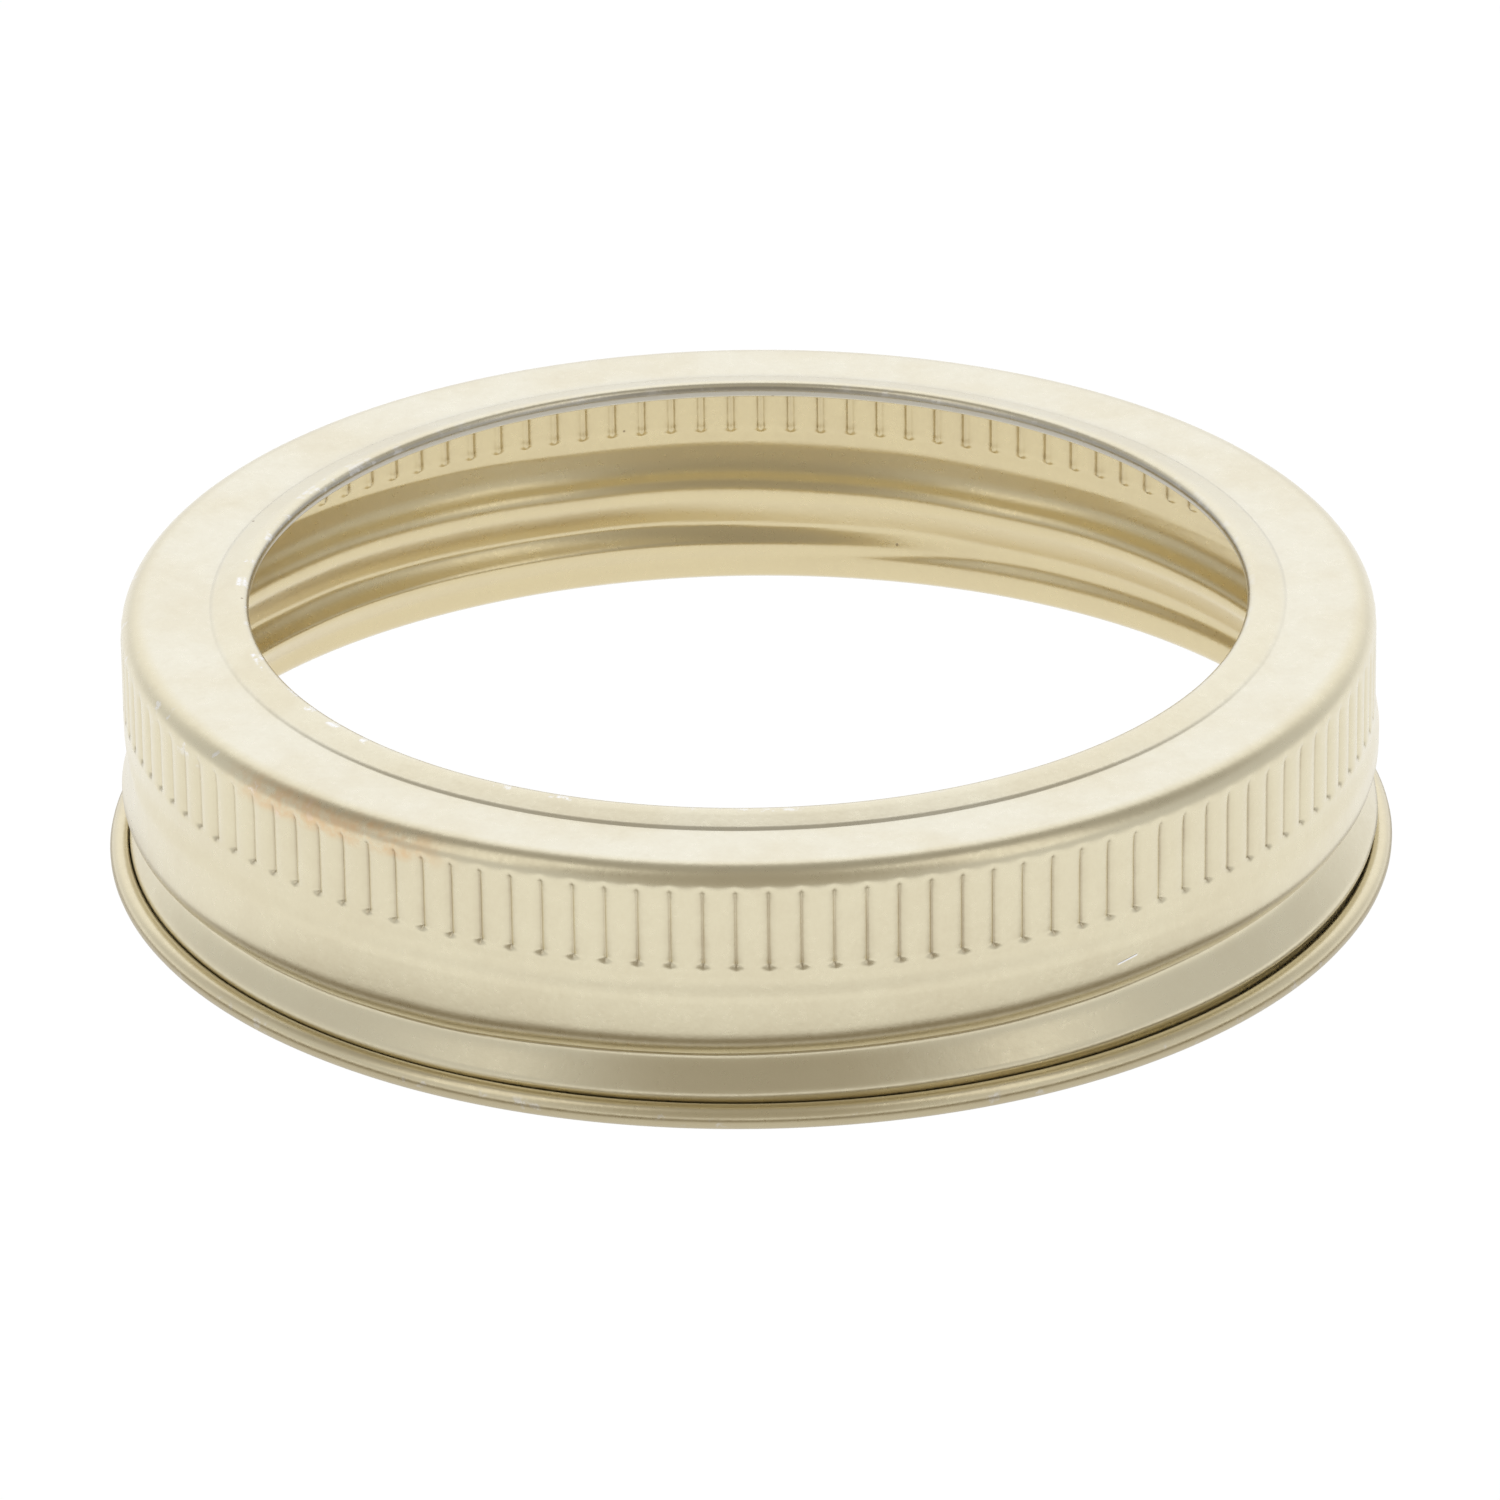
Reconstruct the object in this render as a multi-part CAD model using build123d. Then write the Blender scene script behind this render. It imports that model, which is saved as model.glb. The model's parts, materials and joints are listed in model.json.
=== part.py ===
from build123d import *
import math
import os

# Screw band for a regular-mouth preserving jar: one piece of lacquered tinplate, drawn and rolled.
# Millimetres, +Z up. The origin is on the axis, in the plane that the rolled bottom edge stands on.

# Driving dimensions: the sheet, the opening, the ring of metal round it and the height
SHEET = 0.24
APERTURE_R = 28.575
TOP_WIDTH = 7.375
BAND_HEIGHT = 16.0

# Hem round the aperture, folded under the top
HEM_HEIGHT = 1.05
HEM_BEND_R = 0.40
HEM_RETURN = 1.50

# Top: a crest over the hem, a ring sloping down outwards, a small step, a flat land and a rounded shoulder
CREST_WIDTH = 0.625
INNER_RING_WIDTH = 2.125
RING_DROP = 0.34
STEP_DROP = 0.14
STEP_WIDTH = 0.30
SHOULDER_R = 1.45
CREST_R = APERTURE_R + CREST_WIDTH
STEP_R = APERTURE_R + INNER_RING_WIDTH
LAND_DROP = RING_DROP + STEP_DROP

# Skirt: outside radii of the knurled zone, the plain bulge and the neck over the rolled edge
BULGE_STAND = 0.25
NECK_DEPTH = 0.46
BULGE_BLEND = 1.00
NECK_BLEND = 1.00
KNURL_R = APERTURE_R + TOP_WIDTH
BULGE_R = KNURL_R + BULGE_STAND
NECK_R = BULGE_R - NECK_DEPTH

# Rolled bottom edge, and the clear height between it and the end of the neck
CURL_R = 0.75
CURL_TURN_DEG = 290.0
NECK_CLEARANCE = 0.10
NECK_TOP_Z = 2 * CURL_R + NECK_CLEARANCE

# Thread: one right-handed start, pressed inwards. Heights are taken from its crest line.
THREAD_PITCH = 5.08
THREAD_DEPTH = 1.60
THREAD_CREST_HALF = 0.15
THREAD_UPPER_FLANK = 1.90
THREAD_LOWER_FLANK = 2.30
THREAD_TOP_DEG = 175.0
THREAD_TURN_DEG = 430.0
THREAD_FOOT_DROP = 0.36
THREAD_RISE = THREAD_PITCH * THREAD_TURN_DEG / 360
THREAD_TOP_Z = NECK_TOP_Z - THREAD_FOOT_DROP + THREAD_RISE

# Knurl: upright flutes pressed in from outside, from just above the thread up to the shoulder
FLUTE_COUNT = 124
FLUTE_TOOL_R = 0.30
FLUTE_DEPTH = 0.15
KNURL_TO_THREAD = 0.24
KNURL_TOP_GAP = 0.02
KNURL_BOTTOM_Z = THREAD_TOP_Z + THREAD_CREST_HALF + THREAD_UPPER_FLANK + KNURL_TO_THREAD

# Small working values
CUT_MARGIN = 0.05
GUARD_SLOPE_DEG = 45.0
AXIS_PLANE = Plane.XZ


def skirt_radii():
    """Centre-line radii of the sheet in the knurled zone, the bulge and the neck."""
    half = SHEET / 2
    return KNURL_R - half, BULGE_R - half, NECK_R - half


def top_heights():
    """Centre-line heights of the crest over the hem, the foot of the sloping ring and the flat land."""
    crest = BAND_HEIGHT - SHEET / 2
    return crest, crest - RING_DROP, crest - LAND_DROP


def shoulder_base_z():
    """Height where the shoulder's arc meets the upright skirt."""
    return BAND_HEIGHT - LAND_DROP - SHOULDER_R


def top_line():
    """Sheet centre-line from the end of the hem's return to the foot of the shoulder."""
    half = SHEET / 2
    crest_z, ring_z, land_z = top_heights()
    bend = HEM_BEND_R - half
    bore_r = APERTURE_R + half
    hem_low_z = BAND_HEIGHT - HEM_HEIGHT + half
    knurl_r = KNURL_R - half
    corner = SHOULDER_R - half
    diagonal = math.sqrt(0.5)
    hem_return = Line((bore_r + bend + HEM_RETURN, hem_low_z), (bore_r + bend, hem_low_z))
    lower_mid = (bore_r + bend * (1 - diagonal), hem_low_z + bend * (1 - diagonal))
    lower_bend = ThreePointArc(hem_return @ 1, lower_mid, (bore_r, hem_low_z + bend))
    bore = Line(lower_bend @ 1, (bore_r, crest_z - bend))
    upper_mid = (bore_r + bend * (1 - diagonal), crest_z - bend * (1 - diagonal))
    upper_bend = ThreePointArc(bore @ 1, upper_mid, (bore_r + bend, crest_z))
    crest = Line(upper_bend @ 1, (CREST_R, crest_z))
    ring = Line(crest @ 1, (STEP_R - STEP_WIDTH / 2, ring_z))
    step = Line(ring @ 1, (STEP_R + STEP_WIDTH / 2, land_z))
    land = Line(step @ 1, (knurl_r - corner, land_z))
    corner_mid = (knurl_r - corner * (1 - diagonal), land_z - corner * (1 - diagonal))
    shoulder = ThreePointArc(land @ 1, corner_mid, (knurl_r, land_z - corner))
    return [hem_return, lower_bend, bore, upper_bend, crest, ring, step, land, shoulder]


def skirt_line():
    """Sheet centre-line from the foot of the shoulder down to the start of the rolled edge."""
    knurl_r, bulge_r, neck_r = skirt_radii()
    neck_foot_z = CURL_R
    return Polyline(
        (knurl_r, shoulder_base_z()),
        (knurl_r, KNURL_BOTTOM_Z),
        (bulge_r, KNURL_BOTTOM_Z - BULGE_BLEND),
        (bulge_r, NECK_TOP_Z + NECK_BLEND),
        (neck_r, NECK_TOP_Z),
        (neck_r, neck_foot_z),
    )


def curl_line():
    """Sheet centre-line of the rolled edge, outwards and up from the neck."""
    bend = CURL_R - SHEET / 2
    neck_r = NECK_R - SHEET / 2
    return CenterArc((neck_r + bend, CURL_R), bend, 180.0, CURL_TURN_DEG)


def sheet_profile():
    """Cross-section of the band without knurl or thread, in the XZ plane."""
    edges = Curve() + top_line() + skirt_line() + curl_line()
    return AXIS_PLANE * trace(edges, line_width=SHEET)


def plain_band():
    """The drawn cup with its hem and rolled edge, before rolling."""
    return revolve(sheet_profile(), axis=Axis.Z)


def knurl_ring():
    """The fluted stretch of the skirt: grooves outside and matching ridges inside."""
    tool_r = KNURL_R - FLUTE_DEPTH + FLUTE_TOOL_R
    flutes = PolarLocations(tool_r, FLUTE_COUNT)
    outside = Circle(KNURL_R) - [place * Circle(FLUTE_TOOL_R) for place in flutes]
    ridge_r = FLUTE_TOOL_R + SHEET
    inside = Circle(KNURL_R - SHEET) - [place * Circle(ridge_r) for place in flutes]
    height = shoulder_base_z() - KNURL_TOP_GAP - KNURL_BOTTOM_Z
    return Pos(0, 0, KNURL_BOTTOM_Z) * extrude(outside - inside, height)


def knurl_gap():
    """The plain stretch of wall that the fluted ring takes the place of."""
    height = shoulder_base_z() - KNURL_TOP_GAP - KNURL_BOTTOM_Z
    ring = Circle(KNURL_R + CUT_MARGIN) - Circle(KNURL_R - 2 * SHEET)
    return Pos(0, 0, KNURL_BOTTOM_Z) * extrude(ring, height)


def flank_z(radius, height, offset):
    """Distance from the thread's crest line to a flank at this radius, the flank moved out by offset."""
    length = math.hypot(THREAD_DEPTH, height)
    crest_r = BULGE_R - THREAD_DEPTH
    rise = height * (radius - crest_r) / THREAD_DEPTH
    return THREAD_CREST_HALF + rise + offset * length / THREAD_DEPTH


def thread_section(inner_r, outer_r, offset):
    """Cross-section across one turn of the thread between two radii, in the XZ plane."""
    corners = [
        (inner_r, flank_z(inner_r, THREAD_UPPER_FLANK, offset)),
        (outer_r, flank_z(outer_r, THREAD_UPPER_FLANK, offset)),
        (outer_r, -flank_z(outer_r, THREAD_LOWER_FLANK, offset)),
        (inner_r, -flank_z(inner_r, THREAD_LOWER_FLANK, offset)),
    ]
    return AXIS_PLANE * make_face(Polyline(*corners, close=True))


def wound(section):
    """The section carried along the helix, and off it along its tangent at each end."""
    crest_r = BULGE_R - THREAD_DEPTH
    run_out = math.sqrt((BULGE_R + SHEET) ** 2 - (crest_r - SHEET) ** 2)
    climb = run_out * THREAD_PITCH / (2 * math.pi * crest_r)
    turns = sweep(section, path=Helix(THREAD_PITCH, THREAD_RISE, crest_r), is_frenet=True)
    foot = extrude(section, run_out, dir=(0, -run_out, -climb))
    leaving = extrude(section, run_out, dir=(0, run_out, climb))
    head = Pos(0, 0, THREAD_RISE) * Rot(0, 0, THREAD_TURN_DEG) * leaving
    placed = Pos(0, 0, THREAD_TOP_Z - THREAD_RISE) * Rot(0, 0, THREAD_TOP_DEG - THREAD_TURN_DEG)
    return placed * (turns + foot + head)


def above_neck(offset):
    """The space that the rolled thread may use: it stays over a slope that rises inwards from the neck."""
    slope = math.tan(math.radians(GUARD_SLOPE_DEG))
    neck_r = NECK_R - offset
    neck_z = NECK_TOP_Z - offset * math.tan(math.radians(GUARD_SLOPE_DEG / 2))
    inner_r = BULGE_R - THREAD_DEPTH - 2 * SHEET
    outer_r = BULGE_R + 2 * SHEET
    corners = [
        (inner_r, neck_z + slope * (neck_r - inner_r)),
        (neck_r, neck_z),
        (outer_r, neck_z),
        (outer_r, BAND_HEIGHT),
        (inner_r, BAND_HEIGHT),
    ]
    return revolve(AXIS_PLANE * make_face(Polyline(*corners, close=True)), axis=Axis.Z)


def outer_envelope():
    """Everything inside the skirt's outer surface, knurl and thread left out."""
    corners = [
        (0, 0),
        (NECK_R, 0),
        (NECK_R, NECK_TOP_Z),
        (BULGE_R, NECK_TOP_Z + NECK_BLEND),
        (BULGE_R, KNURL_BOTTOM_Z - BULGE_BLEND),
        (KNURL_R, KNURL_BOTTOM_Z),
        (KNURL_R, BAND_HEIGHT),
        (0, BAND_HEIGHT),
    ]
    return revolve(AXIS_PLANE * make_face(Polyline(*corners, close=True)), axis=Axis.Z)


def thread_bead():
    """The ridge that the rolled thread raises inside the skirt."""
    crest_r = BULGE_R - THREAD_DEPTH - SHEET
    section = thread_section(crest_r, BULGE_R - SHEET / 2, SHEET)
    return wound(section) & above_neck(SHEET) & outer_envelope()


def thread_groove():
    """The groove that the rolled thread leaves outside the skirt."""
    section = thread_section(BULGE_R - THREAD_DEPTH, BULGE_R + CUT_MARGIN, 0)
    return wound(section) & above_neck(0)


def screw_band():
    """The finished band: one sheet of constant thickness."""
    knurled = plain_band() - knurl_gap() + knurl_ring()
    return knurled + thread_bead() - thread_groove()


def main():
    os.makedirs("parts", exist_ok=True)
    export_step(screw_band(), "parts/screw_band.step")


main()
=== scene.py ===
import json
import math

import bpy
from bpy.props import FloatProperty, FloatVectorProperty, IntProperty, PointerProperty
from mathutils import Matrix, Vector


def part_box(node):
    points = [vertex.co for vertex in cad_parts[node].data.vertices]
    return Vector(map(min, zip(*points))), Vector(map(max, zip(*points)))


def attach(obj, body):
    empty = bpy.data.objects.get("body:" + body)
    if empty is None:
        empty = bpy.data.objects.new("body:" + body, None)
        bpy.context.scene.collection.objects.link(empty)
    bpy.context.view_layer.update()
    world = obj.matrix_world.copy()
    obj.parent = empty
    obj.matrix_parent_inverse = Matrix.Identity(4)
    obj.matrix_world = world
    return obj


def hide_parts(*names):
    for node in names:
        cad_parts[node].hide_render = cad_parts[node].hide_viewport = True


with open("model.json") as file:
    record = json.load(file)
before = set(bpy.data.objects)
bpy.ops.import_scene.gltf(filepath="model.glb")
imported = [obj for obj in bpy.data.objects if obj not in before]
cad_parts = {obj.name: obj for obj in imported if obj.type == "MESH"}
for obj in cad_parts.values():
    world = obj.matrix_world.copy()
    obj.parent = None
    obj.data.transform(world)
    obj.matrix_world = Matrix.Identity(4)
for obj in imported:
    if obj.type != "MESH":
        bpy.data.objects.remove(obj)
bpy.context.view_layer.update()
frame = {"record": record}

bl_info = {
    "name": "Jar screw band",
    "version": (1, 0, 0),
    "blender": (4, 5, 0),
    "location": "3D View > Sidebar > Screw band",
    "description": "Builds a rolled tinplate screw band for a preserving jar, with its studio",
    "category": "Object",
}

NODE = "screw_band"
MM = 0.001
BAND_LOW, BAND_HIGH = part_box(NODE)
MOUNTS = {mount["name"]: mount for mount in frame["record"]["mounts"]}

# How finely the sheet is divided: columns in half a flute, rows in each stretch and height of a thread row
COARSE_STEPS = (0.0,)
FINE_STEPS = (0.0, 0.45, 0.72, 0.88)
ROWS_PER_RETURN = 2
ROWS_PER_BEND = 5
ROWS_PER_RING = 3
ROWS_PER_STEP = 4
ROWS_PER_LAND = 6
ROWS_PER_SHOULDER = 7
ROWS_PER_SHOULDER_FOOT = 6
ROWS_PER_FLUTE_SIDE = 2
ROWS_PER_FLUTE_FOOT = 13
ROWS_PER_BULGE_BLEND = 6
ROWS_PER_NECK_BLEND = 5
ROWS_PER_NECK = 2
ROWS_PER_CURL = 18
THREAD_ROW = 0.19 * MM

# Where the bend over the hem meets the crest, and where the finely divided rows begin on the shoulder
BEND_END_DEG = 96
FINE_START_DEG = 32

# Stretches of the skirt: the flutes' upper ends, the room round their feet, and the blends to bulge and neck
FLUTE_HEAD = 1.2 * MM
FLUTE_FOOT_ROOM = 0.5 * MM
FLUTE_FOOT_GAP = 0.15 * MM
BULGE_BLEND = 1.6 * MM
NECK_BLEND = 1.0 * MM

# Softness of the rolled stretch's edges, its room under the flutes, and the size of the thread's unsteadiness
ROLL_EDGE = 0.05 * MM
THREAD_TO_FLUTES = 0.35 * MM
WANDER_SIZE = 14 * MM

# How much of the inner lacquer's tint shows on the rolled edge, and how high that edge reaches
CURL_TINT = 0.35
CURL_REACH = 2 * MM

# The finish: sizes of its patterns, depth of its relief, the clear coat and the half sizes of the scratch
CLOUD_SIZE = 6 * MM
MOTTLE_SIZE = 1.3 * MM
SPECK_SPACING = 6.0 * MM
SPECK_SIZE = 0.12 * MM
RELIEF_HEIGHT = 0.01 * MM
COAT_WEIGHT = 0.7
COAT_ROUGHNESS = 0.28
SCRATCH_SLOPE = 6 * MM
SCRATCH_ENDS = (0.016, 0.021)
SCRATCH_SIDES = (0.03 * MM, 0.08 * MM)

# The studio: height that the camera's distance is taken from, and the angles of the floor's edge in the light
CAMERA_BASE = 0.54 * MM
FLOOR_ALBEDO = 0.02
FLOOR_ROUGHNESS = 0.9
SHADE_SOFTNESS = 2.5 * MM
WALL_FOOT_LIGHT = 0.8
WALL_FOOT_DEG = (2, 24)
OVER_FLOOR_DEG = (4, 12)


def length(name, description, default):
    """A setting in metres."""
    return FloatProperty(name=name, description=description, default=default, unit="LENGTH")


def degrees(name, description, default):
    """A setting that is an angle, with its default in degrees."""
    return FloatProperty(name=name, description=description, default=math.radians(default), subtype="ANGLE")


def colour(name, description, default):
    """A setting that is a colour."""
    return FloatVectorProperty(name=name, description=description, default=default, subtype="COLOR", size=3)


def plain_number(name, description, default):
    """A setting without a unit."""
    return FloatProperty(name=name, description=description, default=default)


def whole_number(name, description, default):
    """A setting that counts something."""
    return IntProperty(name=name, description=description, default=default)


class BandSettings(bpy.types.PropertyGroup):
    """Sizes of the drawn sheet before it is rolled"""

    sheet: length("Sheet", "Thickness of the tinplate", 0.24 * MM)
    height: length("Height", "Height of the band", BAND_HIGH[2] - BAND_LOW[2])
    aperture: length(
        "Aperture", "Radius of the opening inside its hem", MOUNTS["aperture"]["dims"]["r_mm"] * MM
    )
    hem_height: length("Hem", "Height of the folded hem", 0.92 * MM)
    hem_bend: length("Hem bend", "Outside radius of the hem's folds", 0.46 * MM)
    hem_return: length("Hem return", "Width folded back under the top", 1.5 * MM)
    crest: length("Crest", "Radius of the crest over the hem", 29.20 * MM)
    ring_drop: length("Ring drop", "Fall of the ring outside the crest", 0.32 * MM)
    step: length("Step", "Radius of the step in the top", 30.70 * MM)
    step_drop: length("Step drop", "Depth of the step in the top", 0.16 * MM)
    step_width: length("Step width", "Width of the step's slope", 0.34 * MM)
    shoulder: length("Shoulder", "Radius of the rounded corner", 1.45 * MM)
    knurl: length("Knurl", "Radius over the flutes", 35.95 * MM)
    bulge: length("Bulge", "Radius of the plain skirt", 36.20 * MM)
    neck: length("Neck", "Radius above the rolled edge", 35.84 * MM)
    neck_top: length("Neck top", "Height of the neck", 1.46 * MM)
    curl: length("Curl", "Outside radius of the rolled edge", 0.70 * MM)
    curl_turn: degrees("Curl turn", "Turn of the rolled edge", 303)


class FluteSettings(bpy.types.PropertyGroup):
    """The upright flutes that give the band its grip"""

    count: whole_number("Count", "Flutes round the band", 124)
    depth: length("Depth", "Depth of the crease between two flutes", 0.13 * MM)
    sharpness: plain_number("Sharpness", "How narrow the crease is", 5.0)
    dimple: plain_number("Dimple", "How much deeper a crease ends at its foot", 0.35)
    rounding: length("Rounding", "How far a flute's face is rounded", 0.18 * MM)
    tilt: length("Tilt", "How far the lower ends rise and fall round the band", 0.40 * MM)
    tilt_turn: degrees("Tilt turn", "Angle where they are highest", 155)
    bottom: length("Bottom", "Height of the lower ends", 9.62 * MM)
    top: length("Top", "Height of the upper ends", 14.55 * MM)
    bottom_fade: length("Bottom fade", "Length of the lower ends", 0.30 * MM)
    top_fade: length("Top fade", "Length of the upper ends", 0.75 * MM)


class ThreadSettings(bpy.types.PropertyGroup):
    """The helical groove rolled into the skirt"""

    pitch: length("Pitch", "Climb in one turn", 5.08 * MM)
    depth: length("Depth", "Depth of the groove", 1.54 * MM)
    crest_up: length("Crest above", "Upright height above the crest line", 0.10 * MM)
    crest_down: length("Crest below", "Upright height below the crest line", 0.15 * MM)
    lower: length("Lower flank", "Height of the lower flank", 2.30 * MM)
    rounding: length("Rounding", "How softly the lower flank turns", 0.35 * MM)
    fillet: length("Fillet", "Radius where the ledge meets the crest", 0.35 * MM)
    lip: length("Lip", "Radius of the lip over the groove", 1.87 * MM)
    wall_lean: degrees(
        "Wall lean", "Lean of the wall above the lip where the thread runs close under the flutes", 17
    )
    lip_end: degrees("Lip end", "Lean of the ledge", 72)
    guard_lean: degrees("Guard lean", "Lean of the limit that keeps the thread off the neck", 31)
    guard_round: length("Guard rounding", "Softness of that limit", 1.00 * MM)
    squeeze_ledge: degrees("Squeezed ledge", "Change of the ledge's lean close under the flutes", -22)
    squeeze_fillet: length("Squeezed fillet", "Change of the fillet close under the flutes", 0.75 * MM)
    lift: length("Lift", "How far the neck pushes the last turn up", 1.10 * MM)
    lift_low: length("Full lift", "Crest height with the full lift", 0.9 * MM)
    lift_high: length("No lift", "Crest height where the lift starts", 3.2 * MM)
    squeeze_low: length("Squeeze start", "Crest height where these changes start", 4.6 * MM)
    squeeze_high: length("Squeeze end", "Crest height where they are complete", 6.0 * MM)
    wander: length("Wander", "How unsteadily the groove runs", 0.45 * MM)
    start: degrees("Start", "Angle where it starts", 200)
    start_height: length("Start height", "Crest height there", 7.66 * MM)
    turns: plain_number("Turns", "Length of the thread in turns", 1.389)
    fade_in: plain_number("Fade in", "Length of the upper run-out in turns", 0.11)
    fade_out: plain_number("Fade out", "Length of the lower run-out in turns", 0.16)


class FinishSettings(bpy.types.PropertyGroup):
    """The lacquered tinplate"""

    lacquer: colour("Lacquer", "Pale champagne gold", (0.765, 0.70, 0.505))
    # Painted sheen: colour that makes the flat top paler, standing in for the light that falls on it
    top_painted_sheen: colour("Top painted sheen", "Paler on the flat top", (0.805, 0.77, 0.64))
    inner_lacquer: colour("Inner lacquer", "Deeper gold inside", (0.71, 0.605, 0.36))
    tarnish: colour("Tarnish", "Dulled lacquer", (0.60, 0.50, 0.33))
    heat_tint: colour("Tan tint", "Tan bloom on the shoulder", (0.74, 0.50, 0.26))
    # One dark colour for the painted shade in the creases and for real specks
    grime_and_crease_shade: colour("Grime and crease shade", "Painted shade in the creases, and specks", (0.30, 0.22, 0.13))
    # Painted shade: a dark colour on the hem's inner face, standing in for the shade there
    hem_painted_shade: colour("Hem painted shade", "Painted shade on the opening's inner face", (0.36, 0.34, 0.30))
    bare_tin: colour("Bare tin", "Metal where the lacquer has worn", (0.90, 0.90, 0.91))
    roughness: plain_number("Roughness", "Satin of the lacquer", 0.30)
    grain: length("Grain", "Size of the lacquer's grain", 0.28 * MM)
    wear_turn: degrees("Wear turn", "Angle of the most worn side", 215)
    tan_turn: degrees("Tan turn", "Angle of the tan bloom", 229)
    scratch_turn: degrees("Scratch turn", "Angle of the scratch", -55)
    scratch_height: length("Scratch height", "Height of the scratch", 6.73 * MM)


class StudioSettings(bpy.types.PropertyGroup):
    """Camera, floor and light"""

    distance: length("Distance", "Camera to band", 0.6935)
    elevation: degrees("Elevation", "Camera above the floor", 26.02)
    roll: degrees("Roll", "Lean of the camera", 0.72)
    lens: plain_number("Lens", "Focal length in millimetres", 288.0)
    aim_height: length("Aim", "Height that the camera aims at", 5.65 * MM)
    floor_size: length("Floor", "Width of the floor", 6.0)
    tent_light: plain_number("Tent light", "Light from the tent's sides", 1.0)
    back_light: plain_number("Back light", "Light from behind", 1.13)
    ceiling_light: plain_number("Ceiling light", "Light from overhead", 0.40)
    tent_low: degrees("Tent edge", "Where the tent starts to darken", 26)
    tent_high: degrees("Ceiling edge", "Where the ceiling is darkest", 46)
    back_low: degrees("Back edge", "Where the light from behind starts to darken", 54)
    back_high: degrees("Back top", "Where the light from behind ends", 68)
    shade_colour: colour("Shade", "Floor beside the band, as reflections see it", (0.22, 0.18, 0.115))
    camera_tint: colour("Camera side tint", "Colour of the dark behind the camera", (1.0, 0.92, 0.78))
    shade_side: length("Side shade", "Distance where the shade starts to lift at the sides", 38.0 * MM)
    shade_low: length("Shade edge", "Distance where the floor's shade starts to lift", 40.5 * MM)
    shade_high: length("Shade end", "Distance where the floor's shade ends", 46.5 * MM)
    camera_side: degrees("Camera side", "Half the width of the dark behind the camera", 24)
    front_light: plain_number("Front light", "Light from the front half of the room", 0.66)
    camera_light: plain_number("Camera light", "Light from behind the camera", 0.43)
    box_turn: degrees("Box turn", "Turn of each soft box from the camera", 57)
    box_rise: degrees("Box rise", "Angle of each soft box above the floor", 50)
    box_distance: length("Box distance", "Soft box to band", 0.9)
    box_width: length("Box width", "Width of a soft box", 0.34)
    box_height: length("Box height", "Height of a soft box", 0.60)
    box_power: plain_number("Box power", "Power of a soft box", 0.50)


SETTINGS = (
    ("screw_band_sheet", BandSettings),
    ("screw_band_flutes", FluteSettings),
    ("screw_band_thread", ThreadSettings),
    ("screw_band_finish", FinishSettings),
    ("screw_band_studio", StudioSettings),
)


# --- The sheet's centre-line --------------------------------------------------------------------


def arc(centre, radius, start_deg, end_deg, steps):
    """Points on an arc in the radius-height plane, without its first point."""
    points = []
    for i in range(1, steps + 1):
        angle = math.radians(start_deg + (end_deg - start_deg) * i / steps)
        points.append((centre[0] + radius * math.cos(angle), centre[1] + radius * math.sin(angle)))
    return points


def straight(start, end, steps):
    """Points on a line, without its first point."""
    return [
        (start[0] + (end[0] - start[0]) * i / steps, start[1] + (end[1] - start[1]) * i / steps)
        for i in range(1, steps + 1)
    ]


def eased(start, end, steps):
    """Points on an S-shaped slope that leaves and arrives level, without its first point."""
    points = []
    for i in range(1, steps + 1):
        t = i / steps
        ease = t * t * (3 - 2 * t)
        points.append((start[0] + (end[0] - start[0]) * t, start[1] + (end[1] - start[1]) * ease))
    return points


def eased_wall(start, end, steps):
    """Points on an S-shaped slope that leaves and arrives upright, without its first point."""
    return [(r, z) for z, r in eased((start[1], start[0]), (end[1], end[0]), steps)]


def top_rows(sheet):
    """Centre-line of the hem and the top, as far as the shoulder."""
    half = sheet.sheet / 2
    crest_z = sheet.height - half
    ring_z = crest_z - sheet.ring_drop
    land_z = ring_z - sheet.step_drop
    bend = sheet.hem_bend - half
    bore = sheet.aperture + half
    low_z = sheet.height - sheet.hem_height + half
    rows = [(bore + bend + sheet.hem_return, low_z)]
    rows += straight(rows[-1], (bore + bend, low_z), ROWS_PER_RETURN)
    rows += arc((bore + bend, low_z + bend), bend, 270, 180, ROWS_PER_BEND)
    rows += arc((bore + bend, crest_z - bend), bend, 180, BEND_END_DEG, ROWS_PER_BEND)
    rows += straight(rows[-1], (sheet.crest, crest_z), 1)
    rows += straight(rows[-1], (sheet.step - sheet.step_width / 2, ring_z), ROWS_PER_RING)
    rows += eased(rows[-1], (sheet.step + sheet.step_width / 2, land_z), ROWS_PER_STEP)
    corner = sheet.shoulder - half
    rows += straight(rows[-1], (sheet.knurl - half - corner, land_z), ROWS_PER_LAND)
    centre = (sheet.knurl - half - corner, land_z - corner)
    rows += arc(centre, corner, 90, FINE_START_DEG, ROWS_PER_SHOULDER)
    return rows


def knurl_rows(sheet, flutes):
    """Centre-line of the finely divided stretch that holds the flutes."""
    half = sheet.sheet / 2
    corner = sheet.shoulder - half
    foot = sheet.height - half - sheet.ring_drop - sheet.step_drop - corner
    radius = sheet.knurl - half
    rows = arc((radius - corner, foot), corner, FINE_START_DEG, 0, ROWS_PER_SHOULDER_FOOT)
    rows += straight(rows[-1], (radius, flutes.top - FLUTE_HEAD), 1)
    low = flutes.bottom - flutes.tilt
    high = flutes.bottom + flutes.tilt + flutes.bottom_fade
    rows += straight(rows[-1], (radius, high + FLUTE_FOOT_ROOM), ROWS_PER_FLUTE_SIDE)
    rows += straight(rows[-1], (radius, low), ROWS_PER_FLUTE_FOOT)
    rows += straight(rows[-1], (radius, low - FLUTE_FOOT_GAP), 1)
    return rows


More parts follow.
